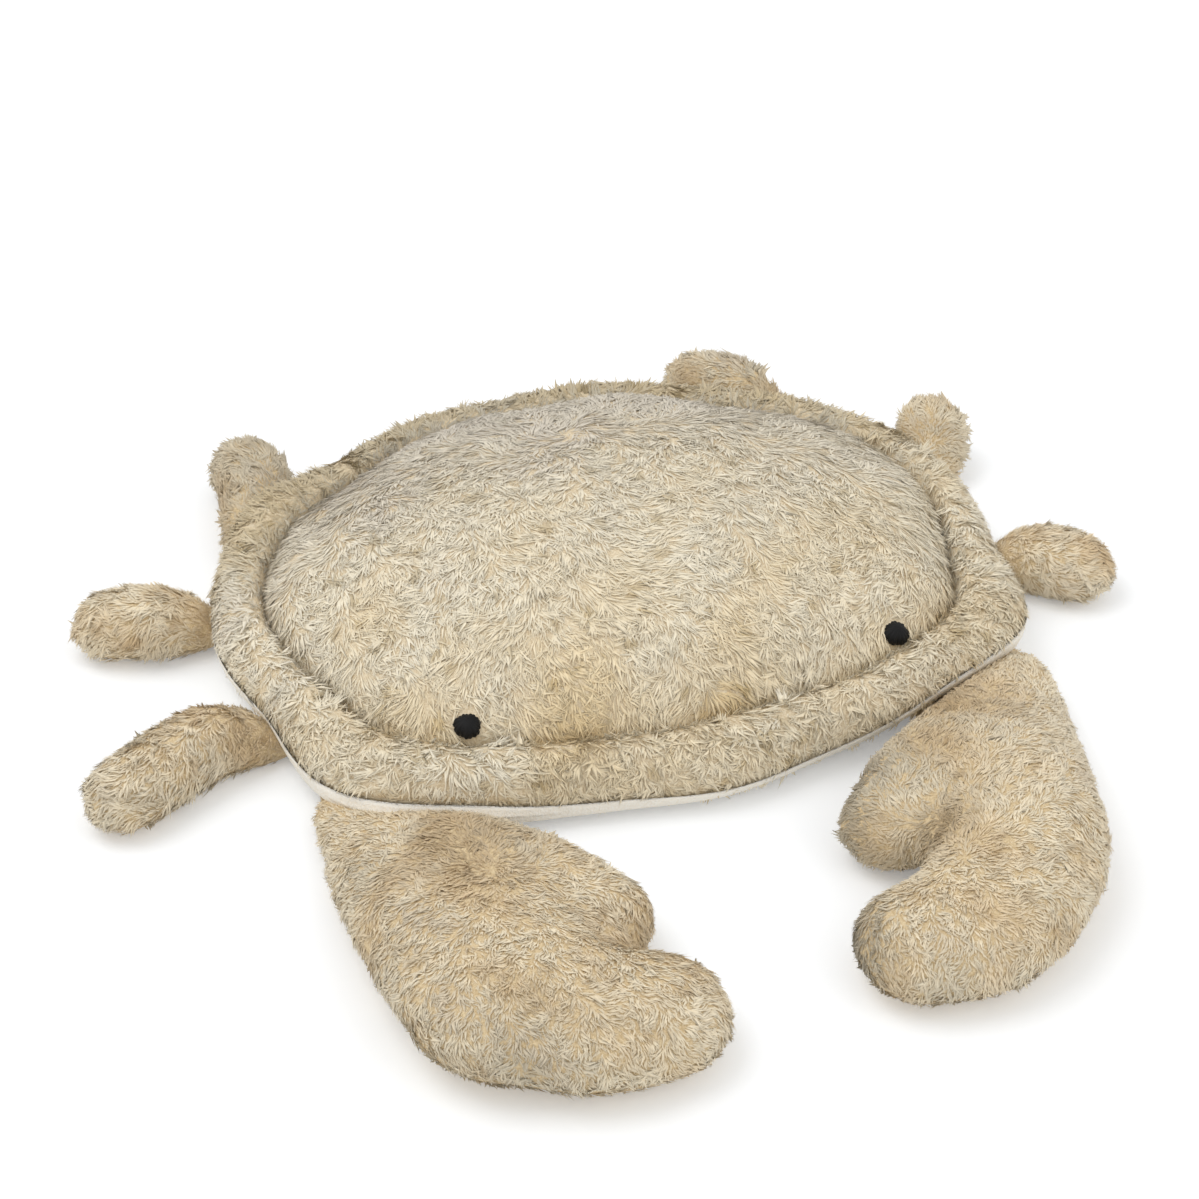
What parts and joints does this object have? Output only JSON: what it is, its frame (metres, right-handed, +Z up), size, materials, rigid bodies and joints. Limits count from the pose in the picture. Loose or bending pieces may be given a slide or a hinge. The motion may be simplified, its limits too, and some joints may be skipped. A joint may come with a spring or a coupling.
{
  "type": "plush crab",
  "caption": "Soft stuffed crab that lies flat, with a quilted domed shell, a padded rim, a smooth belly, stubby legs and curled claws.",
  "frame": {"origin": "on the floor, under the middle of the carapace, at the belly's flat underside", "axes": "+Z up, the crab's face looks along -Y, +X to the right as the viewer facing the crab sees it"},
  "size_m": [0.3974, 0.388, 0.057],
  "materials": {
    "long_plush_shell": "long curly plush, beige with pale tips",
    "long_plush_limbs": "long curly plush, golden tan",
    "short_plush_belly": "smooth short plush, off-white",
    "black_embroidery": "satin stitch"
  },
  "bodies": {
    "root": {"carapace": "long_plush_shell", "belly_panel": "short_plush_belly", "leg_left_front": "long_plush_limbs", "leg_left_middle": "long_plush_limbs", "leg_left_rear": "long_plush_limbs", "leg_right_front": "long_plush_limbs", "leg_right_middle": "long_plush_limbs", "leg_right_rear": "long_plush_limbs", "claw_left": "long_plush_limbs", "claw_right": "long_plush_limbs", "eye_left": "black_embroidery", "eye_right": "black_embroidery"}
  },
  "joints": []
}
